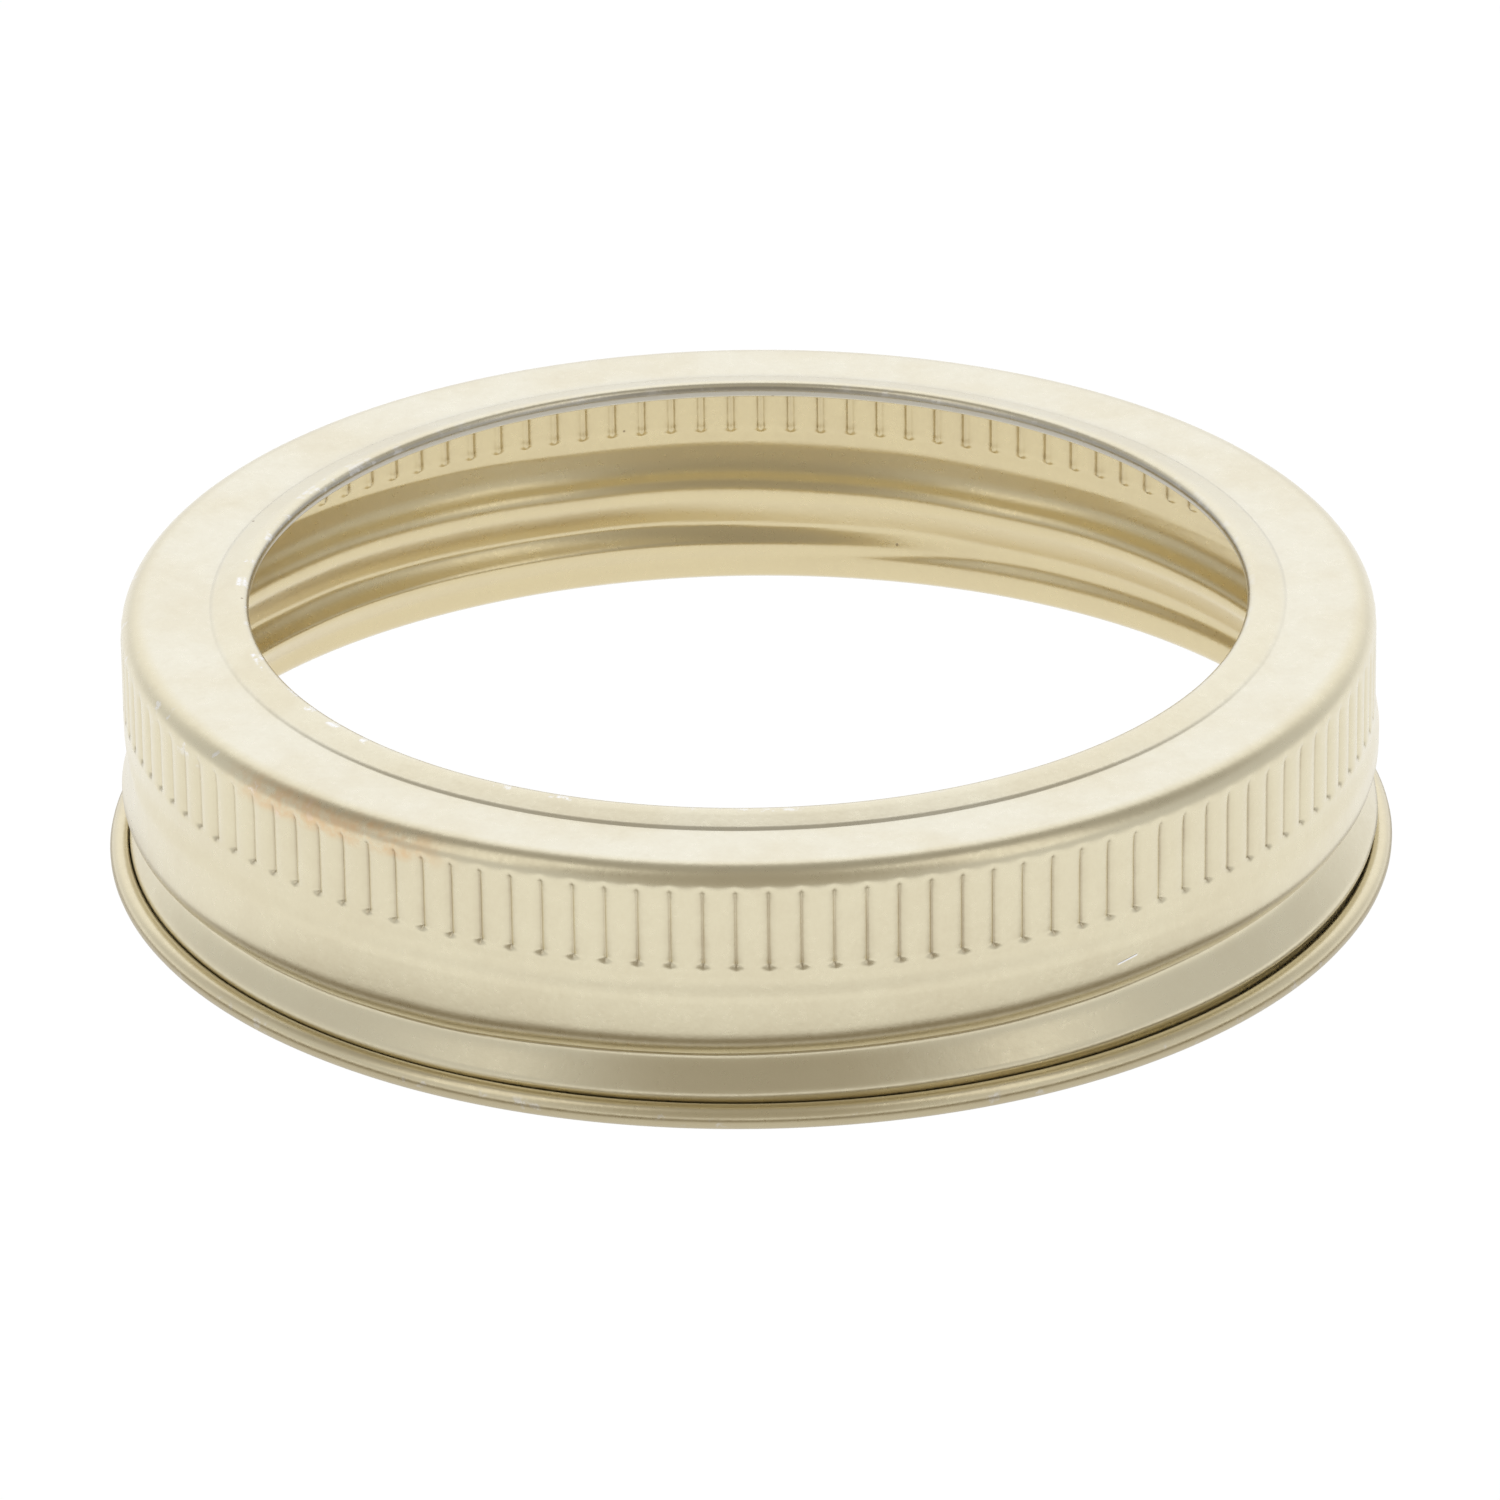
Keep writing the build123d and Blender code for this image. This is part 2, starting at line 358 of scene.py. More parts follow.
def skirt_rows(sheet, start):
    """Centre-line of the plain skirt, the neck and the rolled edge."""
    half = sheet.sheet / 2
    bulge = sheet.bulge - half
    neck = sheet.neck - half
    bend = sheet.curl - half
    rows = eased_wall(start, (bulge, start[1] - BULGE_BLEND), ROWS_PER_BULGE_BLEND)
    steps = round((rows[-1][1] - sheet.neck_top - NECK_BLEND) / THREAD_ROW)
    rows += straight(rows[-1], (bulge, sheet.neck_top + NECK_BLEND), steps)
    rows += eased_wall(rows[-1], (neck, sheet.neck_top), ROWS_PER_NECK_BLEND)
    rows += straight(rows[-1], (neck, sheet.curl), ROWS_PER_NECK)
    turn = math.degrees(sheet.curl_turn)
    rows += arc((neck + bend, sheet.curl), bend, 180, 180 + turn, ROWS_PER_CURL)
    return rows


# --- The spun sheet -----------------------------------------------------------------------------


def column_angles(count, steps):
    """Angles of one row's columns: each flute's middle, the groove after it and the steps between."""
    half = math.pi / count
    marks = [*steps, 1.0, *(2.0 - step for step in reversed(steps[1:]))]
    return [half * (2 * flute + mark) for flute in range(count) for mark in marks]


def ring_faces(upper, lower, upper_count, lower_count):
    """Faces between two rows of points, which may be divided differently."""
    if upper_count == lower_count:
        n = upper_count
        return [(upper + i, lower + i, lower + (i + 1) % n, upper + (i + 1) % n) for i in range(n)]
    fine_first = upper_count > lower_count
    coarse, fine = (lower, upper) if fine_first else (upper, lower)
    coarse_count, fine_count = min(upper_count, lower_count), max(upper_count, lower_count)
    share = fine_count // coarse_count
    faces = []
    for i in range(coarse_count):
        here, there = coarse + i, coarse + (i + 1) % coarse_count
        points = [fine + (share * i + j) % fine_count for j in range(share + 1)]
        middle = share // 2
        fan = [(here, points[j], points[j + 1]) for j in range(middle)]
        fan.append((here, points[middle], there))
        fan += [(there, points[j], points[j + 1]) for j in range(middle, share)]
        faces += [tuple(reversed(face)) for face in fan] if fine_first else fan
    return faces


def spun_sheet(sheet, flutes):
    """The drawn cup as one open surface along the middle of the sheet, before it is rolled."""
    coarse_top = top_rows(sheet)
    fine = knurl_rows(sheet, flutes)
    coarse_low = skirt_rows(sheet, fine[-1])
    rows = [(row, COARSE_STEPS) for row in coarse_top] + [(row, FINE_STEPS) for row in fine]
    rows += [(row, COARSE_STEPS) for row in coarse_low]
    points, faces, starts = [], [], []
    for (radius, height), steps in rows:
        angles = column_angles(flutes.count, steps)
        starts.append((len(points), len(angles)))
        points += [(radius * math.cos(a), radius * math.sin(a), height) for a in angles]
    for (upper, upper_count), (lower, lower_count) in zip(starts, starts[1:]):
        faces += ring_faces(upper, lower, upper_count, lower_count)
    mesh = bpy.data.meshes.new("drawn_sheet")
    mesh.from_pydata(points, [], faces)
    mesh.polygons.foreach_set("use_smooth", [True] * len(mesh.polygons))
    return mesh


# --- Formulas in node trees ---------------------------------------------------------------------


class Formula:
    """A number that a node tree works out, so that a rule can be written as a formula."""

    def __init__(self, tree, socket):
        self.tree = tree
        self.socket = socket

    def feed(self, node, values):
        """Give a node's inputs these numbers or formulas, by name or by place."""
        for key, value in values:
            if isinstance(value, Formula):
                self.tree.links.new(value.socket, node.inputs[key])
            else:
                node.inputs[key].default_value = value

    def step(self, operation, *values):
        node = self.tree.nodes.new("ShaderNodeMath")
        node.operation = operation
        self.feed(node, enumerate(values))
        return Formula(self.tree, node.outputs[0])

    def math(self, operation, *others):
        return self.step(operation, self, *others)

    def __add__(self, other):
        return self.step("ADD", self, other)

    def __sub__(self, other):
        return self.step("SUBTRACT", self, other)

    def __rsub__(self, other):
        return self.step("SUBTRACT", other, self)

    def __mul__(self, other):
        return self.step("MULTIPLY", self, other)

    def __truediv__(self, other):
        return self.step("DIVIDE", self, other)

    __radd__ = __add__
    __rmul__ = __mul__

    def ramp(self, low, high, from_value=0.0, to_value=1.0):
        """from_value below low, to_value above high, with soft ends."""
        node = self.tree.nodes.new("ShaderNodeMapRange")
        node.interpolation_type = "SMOOTHSTEP"
        pairs = {"Value": self, "From Min": low, "From Max": high, "To Min": from_value, "To Max": to_value}
        self.feed(node, pairs.items())
        return Formula(self.tree, node.outputs["Result"])


# --- The rolling tree ---------------------------------------------------------------------------

ROLL_INPUTS = (
    ("Flute count", "count"),
    ("Flute depth", "depth"),
    ("Flute sharpness", "sharpness"),
    ("Flute dimple", "dimple"),
    ("Flute rounding", "rounding"),
    ("Flute tilt", "tilt"),
    ("Flute tilt turn", "tilt_turn"),
    ("Flute bottom", "bottom"),
    ("Flute top", "top"),
    ("Flute bottom fade", "bottom_fade"),
    ("Flute top fade", "top_fade"),
)
THREAD_INPUTS = (
    ("Thread pitch", "pitch"),
    ("Thread depth", "depth"),
    ("Crest above", "crest_up"),
    ("Crest below", "crest_down"),
    ("Lower flank", "lower"),
    ("Thread rounding", "rounding"),
    ("Fillet radius", "fillet"),
    ("Lip radius", "lip"),
    ("Wall lean", "wall_lean"),
    ("Squeezed ledge", "squeeze_ledge"),
    ("Squeezed fillet", "squeeze_fillet"),
    ("Thread lift", "lift"),
    ("Full lift height", "lift_low"),
    ("No lift height", "lift_high"),
    ("Squeeze start", "squeeze_low"),
    ("Squeeze end", "squeeze_high"),
    ("Thread wander", "wander"),
    ("Lip end", "lip_end"),
    ("Guard lean", "guard_lean"),
    ("Guard rounding", "guard_round"),
    ("Thread start", "start"),
    ("Thread start height", "start_height"),
    ("Thread turns", "turns"),
    ("Thread fade in", "fade_in"),
    ("Thread fade out", "fade_out"),
)
SHEET_INPUTS = (
    ("Sheet", "sheet"),
    ("Bulge radius", "bulge"),
    ("Neck radius", "neck"),
    ("Neck top", "neck_top"),
)


def flute_bottom(angle, value):
    """Height of the flutes' lower ends at this angle."""
    return value["Flute bottom"] + (angle - value["Flute tilt turn"]).math("COSINE") * value["Flute tilt"]


def across_flute(angle, count):
    """0 in the middle of a flute, 1 in the crease between two."""
    around = (angle * count / (2 * math.pi) + 0.5).math("FRACT")
    return ((around - 0.5) * 2.0).math("ABSOLUTE")


def fluting(angle, height, value):
    """How far the flutes press a point inwards: a rounded face with a narrow crease at each side."""
    across = across_flute(angle, value["Flute count"])
    bottom = flute_bottom(angle, value)
    foot = 1.0 - height.ramp(bottom + value["Flute bottom fade"], bottom + value["Flute bottom fade"] * 2.5)
    crease = across.math("POWER", value["Flute sharpness"]) * value["Flute depth"]
    crease = crease * (1.0 + foot * value["Flute dimple"])
    face = across.math("POWER", 2.0) * value["Flute rounding"]
    lower_end = height.ramp(bottom, bottom + value["Flute bottom fade"])
    upper_end = height.ramp(value["Flute top"] - value["Flute top fade"], value["Flute top"])
    return (crease + face) * (lower_end - upper_end)


def clamped(formula):
    """The formula kept between 0 and 1."""
    return formula.math("MAXIMUM", 0.0).math("MINIMUM", 1.0)


def thread_turn(turn, height, value):
    """Inward and downward shift at a point, for one pass of the thread at this many turns from its start.

    Above its crest line the drawn height is spent along the profile: a leaning wall, a round lip that ends
    in a ledge, and a fillet down to the upright crest. So the ledge has as many rows as a wall would.
    """
    crest_height = value["Thread start height"] - turn * value["Thread pitch"]
    lifted = crest_height.ramp(value["Full lift height"], value["No lift height"], 1.0, 0.0)
    above = height - crest_height - lifted * value["Thread lift"]
    squeeze = crest_height.ramp(value["Squeeze start"], value["Squeeze end"])
    lean, ledge = value["Wall lean"] * squeeze, value["Lip end"] + squeeze * value["Squeezed ledge"]
    fillet, lip = value["Fillet radius"] + squeeze * value["Squeezed fillet"], value["Lip radius"]
    crest_above = value["Crest above"]
    fillet_rise = fillet * ledge.math("SINE")
    lip_rise = lip * (ledge.math("SINE") - lean.math("SINE"))
    fillet_top = crest_above + fillet_rise
    lip_top = fillet_top + lip_rise

    along_fillet = clamped((above - crest_above) / fillet_rise) * ledge
    along_lip = clamped((above - fillet_top) / lip_rise)
    lip_angle = ledge - along_lip * (ledge - lean)
    over_lip = (above - lip_top).math("MAXIMUM", 0.0)

    out_fillet = fillet * (1.0 - along_fillet.math("COSINE"))
    out_lip = lip * (lip_angle.math("COSINE") - ledge.math("COSINE"))
    outward = out_fillet + out_lip + over_lip * lean.math("TANGENT")
    upper = value["Thread depth"] - outward

    rise_fillet = fillet * along_fillet.math("SINE")
    rise_lip = lip * (ledge.math("SINE") - lip_angle.math("SINE"))
    shift = (above - crest_above).math("MINIMUM", fillet_rise + lip_rise).math("MAXIMUM", 0.0)
    rise = rise_fillet + rise_lip - shift

    flank = value["Crest below"] + value["Lower flank"] + above
    flank = flank * value["Thread depth"] / value["Lower flank"]
    flank = flank.math("SMOOTH_MAX", 0.0, value["Thread rounding"])
    upper = upper.math("SMOOTH_MAX", 0.0, value["Thread rounding"] * 0.3)
    groove = upper.math("SMOOTH_MIN", flank, value["Thread rounding"])
    begin = turn.ramp(0.0, value["Thread fade in"])
    end = turn.ramp(value["Thread turns"] - value["Thread fade out"], value["Thread turns"])
    share = begin * (1.0 - end)
    return groove * share, rise * share


def rolled(radius, angle, height, wander, value):
    """Radius and height of a point of the drawn sheet after flutes and thread are rolled in."""
    along = ((value["Thread start"] - angle) / (2 * math.pi)).math("FRACT")
    unsteady = height + wander * value["Thread wander"]
    depth, rise = thread_turn(along, unsteady, value)
    second_depth, second_rise = thread_turn(along + 1.0, unsteady, value)
    half = value["Sheet"] * 0.5
    new_height = height + rise + second_rise
    groove = value["Bulge radius"] - half - depth.math("MAXIMUM", second_depth)
    over_neck = new_height - value["Neck top"]
    guard = value["Neck radius"] - half - over_neck * value["Guard lean"].math("TANGENT")
    groove = groove.math("SMOOTH_MAX", guard, value["Guard rounding"])
    in_skirt = height.ramp(value["Neck top"] - ROLL_EDGE, value["Neck top"] + ROLL_EDGE)
    bottom = flute_bottom(angle, value)
    below_flutes = 1.0 - height.ramp(bottom - THREAD_TO_FLUTES, bottom + ROLL_EDGE)
    mask = in_skirt * below_flutes
    threaded = radius.math("MINIMUM", groove)
    new_radius = radius + (threaded - radius) * mask - fluting(angle, height, value)
    return new_radius, height + (new_height - height) * mask


def rolling_tree(material):
    """A Geometry Nodes tree that rolls flutes and a thread into the drawn sheet."""
    tree = bpy.data.node_groups.new("Roll band", "GeometryNodeTree")
    tree.interface.new_socket("Sheet mesh", in_out="INPUT", socket_type="NodeSocketGeometry")
    tree.interface.new_socket("Rolled mesh", in_out="OUTPUT", socket_type="NodeSocketGeometry")
    names = [name for name, _ in SHEET_INPUTS + ROLL_INPUTS + THREAD_INPUTS]
    for name in names:
        tree.interface.new_socket(name, in_out="INPUT", socket_type="NodeSocketFloat")
    new, link = tree.nodes.new, tree.links.new
    group_in, group_out = new("NodeGroupInput"), new("NodeGroupOutput")
    value = {name: Formula(tree, group_in.outputs[name]) for name in names}
    position, split = new("GeometryNodeInputPosition"), new("ShaderNodeSeparateXYZ")
    link(position.outputs[0], split.inputs[0])
    x, y, z = (Formula(tree, split.outputs[i]) for i in range(3))
    radius = (x * x + y * y).math("SQRT")
    angle = y.math("ARCTAN2", x)
    wander = noise(tree, position.outputs[0], 1 / WANDER_SIZE, 1.0) - 0.5
    new_radius, new_height = rolled(radius, angle, z, wander, value)
    scale = new_radius / radius
    join = new("ShaderNodeCombineXYZ")
    for index, part in enumerate((x * scale, y * scale, new_height)):
        link(part.socket, join.inputs[index])
    move, realize = new("GeometryNodeSetPosition"), new("GeometryNodeRealizeInstances")
    paint = new("GeometryNodeSetMaterial")
    paint.inputs["Material"].default_value = material
    link(group_in.outputs[0], move.inputs["Geometry"])
    link(join.outputs[0], move.inputs["Position"])
    link(move.outputs[0], realize.inputs[0])
    link(realize.outputs[0], paint.inputs["Geometry"])
    link(paint.outputs[0], group_out.inputs[0])
    return tree


def set_inputs(modifier, pairs, settings):
    """Fill a modifier's inputs from a settings group, by each socket's identifier."""
    sockets = {s.name: s.identifier for s in modifier.node_group.interface.items_tree if s.in_out == "INPUT"}
    for name, attribute in pairs:
        modifier[sockets[name]] = float(getattr(settings, attribute))


# --- The material -------------------------------------------------------------------------------


def mix_colours(tree, share, first, second):
    """A colour between two others."""
    node = tree.nodes.new("ShaderNodeMix")
    node.data_type = "RGBA"
    sockets = {0: share, 6: first, 7: second}
    for index, value in sockets.items():
        if isinstance(value, (Formula, bpy.types.NodeSocket)):
            tree.links.new(getattr(value, "socket", value), node.inputs[index])
        else:
            node.inputs[index].default_value = (*value, 1.0)
    return node.outputs[2]


def noise(tree, place, scale, detail, roughness=0.5):
    """Fine random variation, as a formula from 0 to 1."""
    node = tree.nodes.new("ShaderNodeTexNoise")
    node.inputs["Scale"].default_value = scale
    node.inputs["Detail"].default_value = detail
    node.inputs["Roughness"].default_value = roughness
    tree.links.new(place, node.inputs["Vector"])
    return Formula(tree, node.outputs["Fac"])


def speckle(tree, place, spacing, size):
    """Tiny scattered spots, as a formula from 0 to 1."""
    node = tree.nodes.new("ShaderNodeTexVoronoi")
    node.inputs["Scale"].default_value = 1 / spacing
    tree.links.new(place, node.inputs["Vector"])
    return Formula(tree, node.outputs["Distance"]).ramp(0.6 * size / spacing, size / spacing, 1.0, 0.0)


def facing_turn(angle, turn, half_width):
    """1 near this angle round the band, fading to 0 at half_width from it."""
    return (angle - turn).math("COSINE").ramp(math.cos(half_width), math.cos(half_width / 3))


def band(number, low, high, soft):
    """1 between two limits, with soft ends."""
    return number.ramp(low - soft, low + soft) - number.ramp(high - soft, high + soft)


def crease_mark(angle, height, value):
    """1 in the creases between the flutes, where shade is painted in."""
    bottom = flute_bottom(angle, value)
    ends = height.ramp(bottom - 0.02 * MM, bottom + 0.2 * MM)
    ends = ends - height.ramp(value["Flute top"] - 1.1 * MM, value["Flute top"])
    across = across_flute(angle, value["Flute count"])
    return (across.ramp(0.84, 1.0) * 0.75 + across.ramp(0.45, 1.0) * 0.25) * ends


class Spot:
    """Where a shaded point lies on the band, and the random patterns there, as formulas."""

    def __init__(self, tree, sheet, grain_size):
        self.place = tree.nodes.new("ShaderNodeTexCoord").outputs["Object"]
        split = tree.nodes.new("ShaderNodeSeparateXYZ")
        tree.links.new(self.place, split.inputs[0])
        x, y, z = (Formula(tree, split.outputs[i]) for i in range(3))
        radius = (x * x + y * y).math("SQRT")
        self.angle, self.radius, self.height = y.math("ARCTAN2", x), radius, z
        side = tree.nodes.new("ShaderNodeAttribute")
        side.attribute_name = "inner_side"
        self.inner = Formula(tree, side.outputs["Fac"])
        self.outer = 1.0 - self.inner

        self.cloud = noise(tree, self.place, 1 / CLOUD_SIZE, 4.0)
        self.mottle = noise(tree, self.place, 1 / MOTTLE_SIZE, 5.0, 0.65)
        self.grain = noise(tree, self.place, 1 / grain_size, 3.0, 0.6)
        self.fine = noise(tree, self.place, 2.5 / grain_size, 2.0, 0.6)

        top, knurl = sheet.height, sheet.knurl
        self.top = z.ramp(top - 1.3 * MM, top - 0.7 * MM) * self.outer
        self.top = self.top * radius.ramp(knurl - 1.6 * MM, knurl - 0.7 * MM, 1.0, 0.0)
        self.corner = radius.ramp(knurl - 1.2 * MM, knurl - 0.5 * MM) * self.outer
        self.corner = self.corner * band(z, top - 2.2 * MM, top - 0.65 * MM, 0.3 * MM)
        self.rim = band(radius, 0.0, sheet.aperture + 0.42 * MM, 0.12 * MM)
        self.rim = self.rim * z.ramp(top - 0.5 * MM, top - 0.2 * MM)
        self.ring_line = band(radius, sheet.crest - 0.1 * MM, sheet.crest + 0.15 * MM, 0.12 * MM)
        self.ring_line = self.ring_line * self.top
        self.foot = radius.ramp(sheet.neck + 0.9 * MM, sheet.neck + 1.2 * MM)
        # The hem's inner face, which gets the painted shade
        self.hem_face = radius.ramp(sheet.aperture + 0.30 * MM, sheet.aperture + 0.42 * MM, 1.0, 0.0)
        self.hem_face = self.hem_face * band(z, top - 0.75 * MM, top - 0.16 * MM, 0.06 * MM)


def lacquer_colour(tree, spot, finish, sheet):
    """The lacquer before crease shade, specks and wear: deeper inside, a painted sheen that makes the flat
    top paler, dull in patches, tan on one shoulder, and painted shade on the hem's inner face.
    """
    shade = mix_colours(tree, spot.inner, finish.lacquer, finish.inner_lacquer)
    # Painted sheen on the flat top, varied at random and weaker inside the step
    pale = spot.cloud.ramp(0.35, 0.7, 1.0, 0.62)
    pale = pale * spot.radius.ramp(sheet.step - 0.3 * MM, sheet.step + 0.2 * MM, 0.55, 1.0)
    shade = mix_colours(tree, spot.top * pale, shade, finish.top_painted_sheen)
    dulling = spot.cloud.ramp(0.35, 0.75, 0.0, 0.14)
    dulling = dulling + (spot.mottle - 0.5) * 0.24 + (spot.grain - 0.5) * 0.16
    shade = mix_colours(tree, clamped(dulling + 0.06), shade, finish.tarnish)
    tan = facing_turn(spot.angle, finish.tan_turn, math.radians(15))
    tan = tan * spot.corner * spot.mottle.ramp(0.3, 0.7)
    shade = mix_colours(tree, tan * 0.9, shade, finish.heat_tint)
    # Painted shade on the hem's inner face
    return mix_colours(tree, spot.hem_face * 0.75, shade, finish.hem_painted_shade)


def crease_shade_and_dirt_share(tree, spot, finish, flutes):
    """How dark a point is made: painted shade in the creases between the flutes, and a few real specks."""
    value = {name: getattr(flutes, attribute) for name, attribute in ROLL_INPUTS}
    crease = crease_mark(spot.angle, spot.height, value)
    # Painted crease shade: stronger towards the scratch's angle, fainter elsewhere and faint inside, varied
    # at random
    deep = facing_turn(spot.angle, finish.scratch_turn, math.radians(100)) * 0.22 + 0.08
    specks = speckle(tree, spot.place, SPECK_SPACING, SPECK_SIZE)
    in_creases = crease * (0.14 + spot.outer * deep) * spot.cloud.ramp(0.3, 0.65, 0.5, 1.1)
    return clamped(in_creases + specks * 0.8)


def scratch_mark(spot, finish):
    """1 along one short bright scratch on the skirt."""
    across = (spot.angle - finish.scratch_turn).math("ABSOLUTE")
    line = spot.height - finish.scratch_height - (spot.angle - finish.scratch_turn) * SCRATCH_SLOPE
    line = line.math("ABSOLUTE")
    return across.ramp(*SCRATCH_ENDS, 1.0, 0.0) * line.ramp(*SCRATCH_SIDES, 1.0, 0.0) * spot.outer


def wear_share(spot, finish):
    """How far the lacquer is worn off: on the rim, the shoulder, the crest's line and the rolled edge."""
    worn_side = facing_turn(spot.angle, finish.wear_turn, math.radians(95))
    worn_corner = facing_turn(spot.angle, finish.wear_turn - 0.35, math.radians(40)) * spot.corner
    wear = spot.rim * spot.mottle.ramp(0.52, 0.64) * (0.25 + worn_side * 0.75)
    wear = wear + worn_corner * spot.mottle.ramp(0.57, 0.66) * 0.6
    wear = wear + spot.ring_line * spot.mottle.ramp(0.57, 0.64) * worn_side
    wear = wear + spot.foot * spot.mottle.ramp(0.60, 0.68) * 0.5
    return clamped(wear + scratch_mark(spot, finish))


def lacquered_tinplate(finish, sheet, flutes):
    """Pale champagne-gold satin lacquer outside, deeper gold inside, on tinplate, worn at its edges."""
    material = bpy.data.materials.new("lacquered_tinplate")
    material.use_nodes = True
    tree = material.node_tree
    shader = tree.nodes["Principled BSDF"]
    spot = Spot(tree, sheet, finish.grain)
    crease_shade_and_dirt, wear = crease_shade_and_dirt_share(tree, spot, finish, flutes), wear_share(spot, finish)

    shade = lacquer_colour(tree, spot, finish, sheet)
    # Painted shade in the creases, and real specks
    shade = mix_colours(tree, crease_shade_and_dirt, shade, finish.grime_and_crease_shade)
    shade = mix_colours(tree, wear, shade, finish.bare_tin)
    tree.links.new(shade, shader.inputs["Base Color"])

    satin = finish.roughness + (spot.grain - 0.5) * 0.14 + (spot.mottle - 0.5) * 0.12
    satin = satin + crease_shade_and_dirt * 0.2 - wear * 0.06
    tree.links.new(clamped(satin).socket, shader.inputs["Roughness"])
    bump = tree.nodes.new("ShaderNodeBump")
    bump.inputs["Strength"].default_value = 1.0
    bump.inputs["Distance"].default_value = RELIEF_HEIGHT
    relief = spot.grain * 0.65 + spot.fine * 0.15 + spot.mottle * 0.35 + spot.cloud * 4.0
    relief = relief - wear * 0.6 - crease_shade_and_dirt * 0.5
    tree.links.new(relief.socket, bump.inputs["Height"])
    tree.links.new(bump.outputs[0], shader.inputs["Normal"])
    tree.links.new(bump.outputs[0], shader.inputs["Coat Normal"])
    shader.inputs["Metallic"].default_value = 1.0
    shader.inputs["Coat Weight"].default_value = COAT_WEIGHT
    shader.inputs["Coat Roughness"].default_value = COAT_ROUGHNESS
    return material


def pale_floor(studio):
    """A white floor that gives its own light.

    The camera sees it white all over. The band's reflections see it darker and warmer close to the band.
    """
    material = bpy.data.materials.new("pale_floor")
    material.use_nodes = True
    tree = material.node_tree
    shader = tree.nodes["Principled BSDF"]
    shader.inputs["Base Color"].default_value = (FLOOR_ALBEDO, FLOOR_ALBEDO, FLOOR_ALBEDO, 1.0)
    shader.inputs["Roughness"].default_value = FLOOR_ROUGHNESS
    shader.inputs["Specular IOR Level"].default_value = 0.0
    place, split = tree.nodes.new("ShaderNodeTexCoord"), tree.nodes.new("ShaderNodeSeparateXYZ")
    tree.links.new(place.outputs["Object"], split.inputs[0])
    x, y = (Formula(tree, split.outputs[i]) for i in range(2))
    away = (x * x + y * y).math("SQRT")
    front = (y / away * -1.0).ramp(0.25, 0.8)
    low = front * (studio.shade_low - studio.shade_side) + studio.shade_side
    high = front * (studio.shade_high - studio.shade_side) + studio.shade_side
    edge = BAND_HIGH[0]
    outside = away.ramp(low, high + SHADE_SOFTNESS)
    inside = away.ramp(edge - 1.0 * MM, edge - 0.5 * MM, 1.0, 0.0)
    beside = away.ramp(edge + 0.5 * MM, edge + 2.0 * MM, 0.55, 0.0)
    lit = outside.math("MAXIMUM", inside).math("MAXIMUM", beside)
    seen = Formula(tree, tree.nodes.new("ShaderNodeLightPath").outputs["Is Camera Ray"])
    glow = mix_colours(tree, lit + seen * (1.0 - lit), studio.shade_colour, (1.0, 1.0, 1.0))
    tree.links.new(glow, shader.inputs["Emission Color"])
    shader.inputs["Emission Strength"].default_value = 1.0
    return material


# --- Operators ----------------------------------------------------------------------------------


class SCREWBAND_OT_band(bpy.types.Operator):
    """Make the rolled tinplate band"""

    bl_idname = "screwband.band"
    bl_label = "Make band"

    def execute(self, context):
        scene = context.scene
        sheet, flutes = scene.screw_band_sheet, scene.screw_band_flutes
        material = lacquered_tinplate(scene.screw_band_finish, sheet, flutes)
        piece = bpy.data.objects.new("rolled_band", spun_sheet(sheet, flutes))
        scene.collection.objects.link(piece)
        rolling = piece.modifiers.new("Roll", "NODES")
        rolling.node_group = rolling_tree(material)
        set_inputs(rolling, SHEET_INPUTS, sheet)
        set_inputs(rolling, ROLL_INPUTS, flutes)
        set_inputs(rolling, THREAD_INPUTS, scene.screw_band_thread)
        wall = piece.modifiers.new("Wall", "SOLIDIFY")
        wall.thickness = sheet.sheet
        wall.offset = 0.0
        wall.use_even_offset = True
        wall.use_rim = True
        evaluated = piece.evaluated_get(context.evaluated_depsgraph_get())
        mesh = bpy.data.meshes.new_from_object(evaluated)
        piece.modifiers.clear()
        piece.data = mesh
        mesh.name = "rolled_band"
        mark_inside(mesh, sheet.neck)
        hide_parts(NODE)
        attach(piece, "root")
        return {"FINISHED"}


def mark_inside(mesh, neck):
    """Store how much each point belongs to the sheet's inner side, and less so on the rolled edge."""
    half = len(mesh.vertices) // 2
    facing = sum(1 for v in mesh.vertices[:half] if v.normal.x * v.co.x + v.normal.y * v.co.y > 0)
    outer_first = 2 * facing > half
    values = []
    for v in mesh.vertices:
        rolled_out = v.co.z < CURL_REACH and v.co.xy.length > neck
        values.append(float((v.index >= half) == outer_first) * (CURL_TINT if rolled_out else 1.0))
    mesh.attributes.new("inner_side", "FLOAT", "POINT").data.foreach_set("value", values)


class SCREWBAND_OT_stage(bpy.types.Operator):
    """Make the floor, the light and the camera"""

    bl_idname = "screwband.stage"
    bl_label = "Make studio"

    def execute(self, context):
        studio = context.scene.screw_band_studio
        half = studio.floor_size / 2
        mesh = bpy.data.meshes.new("floor")
        low = BAND_LOW[2]
        corners = [(-half, -half, low), (half, -half, low), (half, half, low), (-half, half, low)]
        mesh.from_pydata(corners, [], [(0, 1, 2, 3)])
        mesh.materials.append(pale_floor(studio))
        floor = bpy.data.objects.new("floor", mesh)
        context.scene.collection.objects.link(floor)
        place_camera(context.scene, studio)
        light_studio(context.scene, studio)
        return {"FINISHED"}


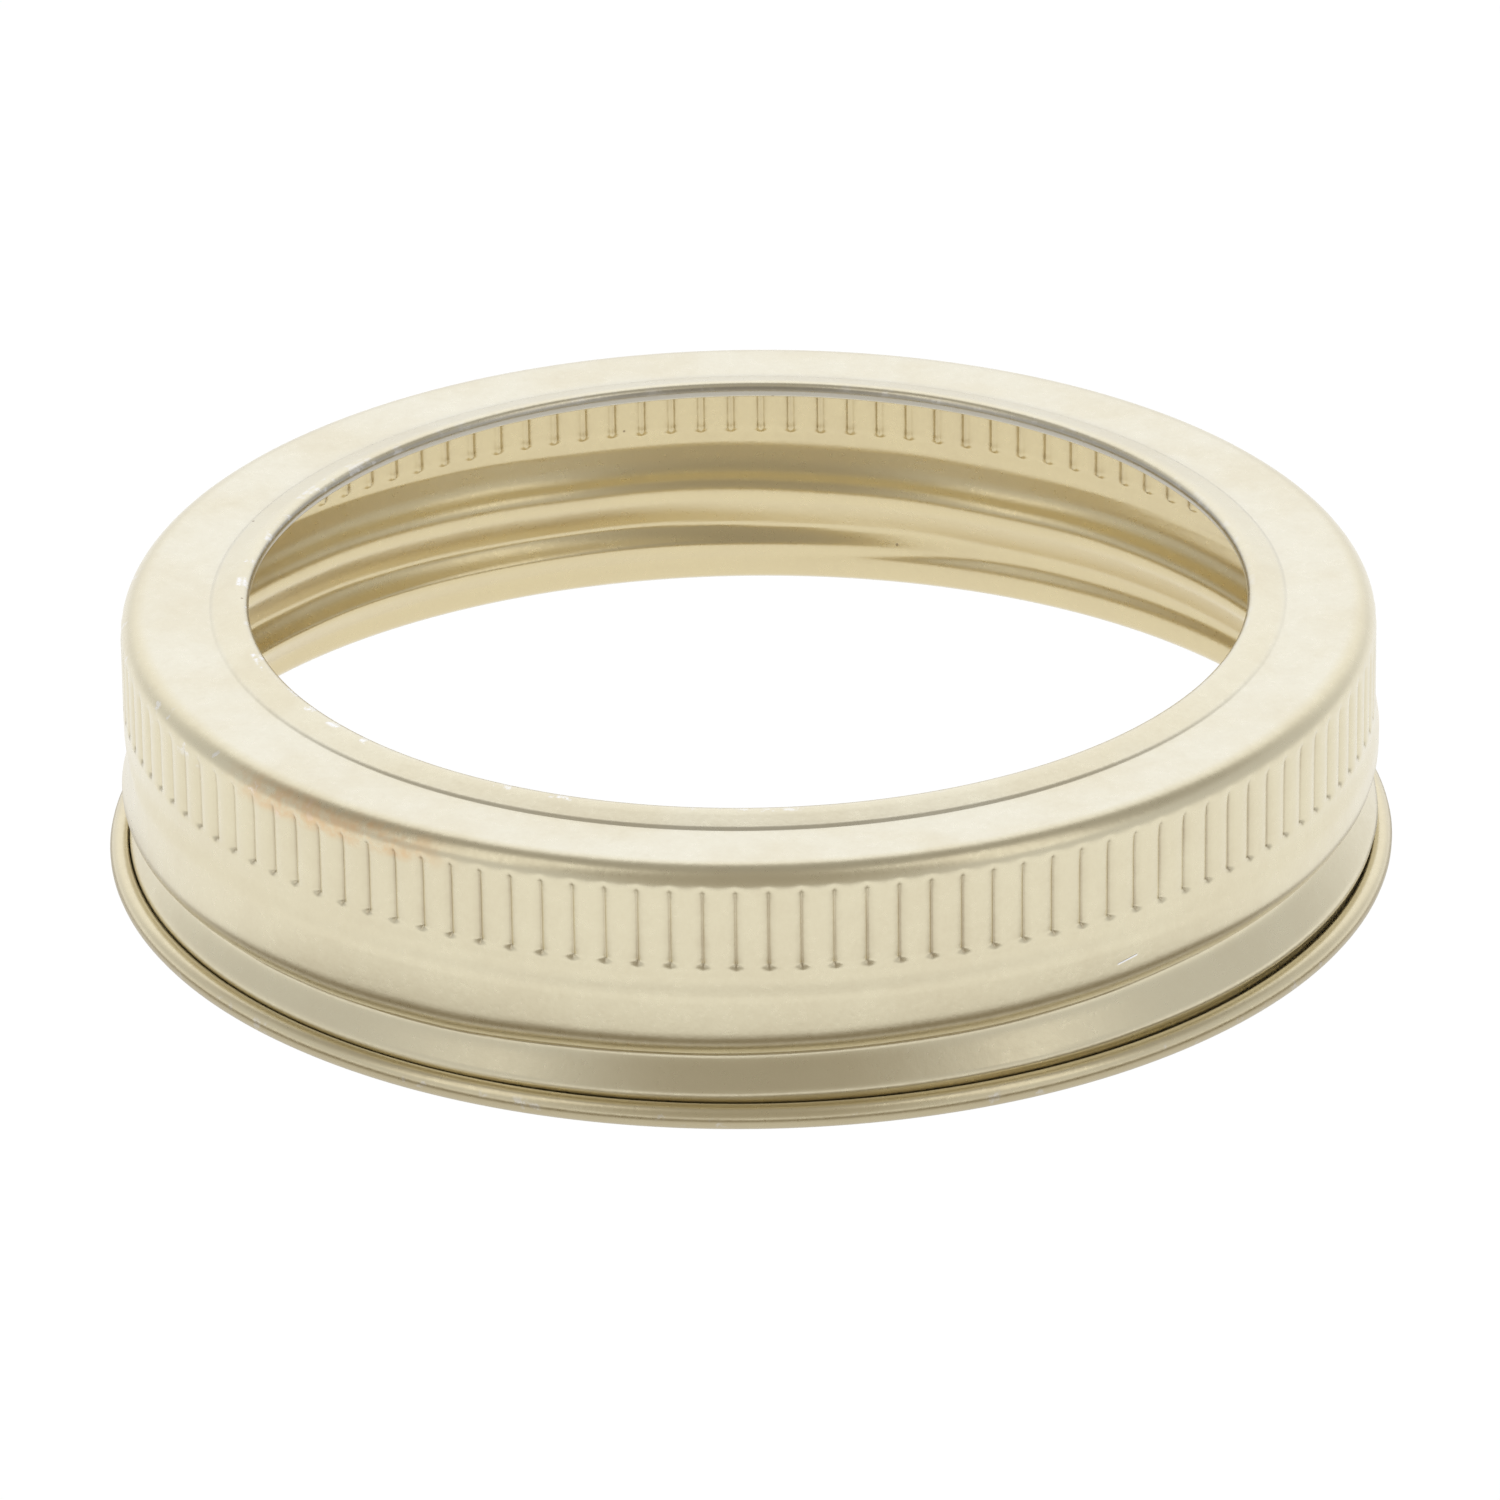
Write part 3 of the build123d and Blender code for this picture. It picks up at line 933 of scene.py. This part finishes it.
def place_camera(scene, studio):
    """Put the camera in front of the band, above it, with a slight lean."""
    target = Vector((0.0, 0.0, studio.aim_height))
    away = Vector((0.0, -math.cos(studio.elevation), math.sin(studio.elevation)))
    camera = bpy.data.objects.new("camera", bpy.data.cameras.new("camera"))
    camera.data.lens = studio.lens
    camera.data.clip_end = 20.0
    camera.location = Vector((0.0, 0.0, CAMERA_BASE)) + away * studio.distance
    turn = (target - camera.location).to_track_quat("-Z", "Y").to_euler()
    camera.rotation_euler = turn
    camera.rotation_euler.rotate_axis("Z", -studio.roll)
    scene.collection.objects.link(camera)
    scene.camera = camera


def sines(angles):
    """The sines of some angles given in degrees."""
    return [math.sin(math.radians(angle)) for angle in angles]


def light_studio(scene, studio):
    """A soft tent, brightest behind, darker overhead and on the camera's side, with two soft boxes."""
    scene.view_settings.view_transform = "Standard"
    world = bpy.data.worlds.new("studio")
    scene.world = world
    world.use_nodes = True
    tree = world.node_tree
    look, split = tree.nodes.new("ShaderNodeTexCoord"), tree.nodes.new("ShaderNodeSeparateXYZ")
    tree.links.new(look.outputs["Generated"], split.inputs[0])
    x, y, z = (Formula(tree, split.outputs[i]) for i in range(3))
    flat = (x * x + y * y).math("SQRT")
    behind = (y / flat).ramp(0.45, 0.95)
    wall = studio.tent_light + behind * (studio.back_light - studio.tent_light)
    low = z.ramp(*sines(WALL_FOOT_DEG), WALL_FOOT_LIGHT, 1.0)
    tent_low, tent_high = math.sin(studio.tent_low), math.sin(studio.tent_high)
    edge_low = behind * (math.sin(studio.back_low) - tent_low) + tent_low
    edge_high = behind * (math.sin(studio.back_high) - tent_high) + tent_high
    ceiling = z.ramp(edge_low, edge_high)
    front = (y / flat * -1.0).ramp(0.2, 0.85)
    facing = (y / flat * -1.0).ramp(math.cos(studio.camera_side * 1.5), math.cos(studio.camera_side * 0.6))
    over_floor = z.ramp(*sines(OVER_FLOOR_DEG))
    beside = (x / flat).math("ABSOLUTE").ramp(0.55, 0.92)
    bright = wall * low
    bright = bright + front.math("MAXIMUM", beside) * over_floor * (studio.front_light - bright)
    bright = bright + facing * over_floor * (studio.camera_light - bright)
    glow = bright + ceiling * (studio.ceiling_light - bright)
    background = tree.nodes["Background"]
    tinted = clamped(facing * over_floor + ceiling * 0.6)
    tint = mix_colours(tree, tinted, (1.0, 1.0, 1.0), studio.camera_tint)
    tree.links.new(tint, background.inputs["Color"])
    tree.links.new(glow.socket, background.inputs["Strength"])
    for side in (-1, 1):
        soft_box(scene, studio, side)


def soft_box(scene, studio, side):
    """One soft box in front of the band and above it."""
    light = bpy.data.lights.new("soft_box", "AREA")
    light.shape = "RECTANGLE"
    light.size, light.size_y = studio.box_width, studio.box_height
    light.energy = studio.box_power
    lamp = bpy.data.objects.new("soft_box", light)
    turn = side * studio.box_turn
    away = Vector((math.sin(turn), -math.cos(turn), math.tan(studio.box_rise))).normalized()
    lamp.location = away * studio.box_distance
    lamp.rotation_euler = away.to_track_quat("Z", "Y").to_euler()
    scene.collection.objects.link(lamp)


# --- Panel and registration ---------------------------------------------------------------------


class SCREWBAND_PT_panel(bpy.types.Panel):
    """Sizes, finish and studio of the band"""

    bl_idname = "SCREWBAND_PT_panel"
    bl_label = "Screw band"
    bl_space_type = "VIEW_3D"
    bl_region_type = "UI"
    bl_category = "Screw band"

    def draw(self, context):
        for name, group in SETTINGS:
            box = self.layout.box()
            box.label(text=group.__doc__)
            for prop in group.__annotations__:
                box.prop(getattr(context.scene, name), prop)
        for operator in (SCREWBAND_OT_band, SCREWBAND_OT_stage):
            self.layout.operator(operator.bl_idname)


CLASSES = (*(group for _, group in SETTINGS), SCREWBAND_OT_band, SCREWBAND_OT_stage, SCREWBAND_PT_panel)


def register():
    for item in CLASSES:
        bpy.utils.register_class(item)
    for name, group in SETTINGS:
        setattr(bpy.types.Scene, name, PointerProperty(type=group))


def unregister():
    for name, _ in SETTINGS:
        delattr(bpy.types.Scene, name)
    for item in reversed(CLASSES):
        bpy.utils.unregister_class(item)


def main():
    register()
    bpy.ops.screwband.stage()
    bpy.ops.screwband.band()


if __name__ == "__main__":
    main()
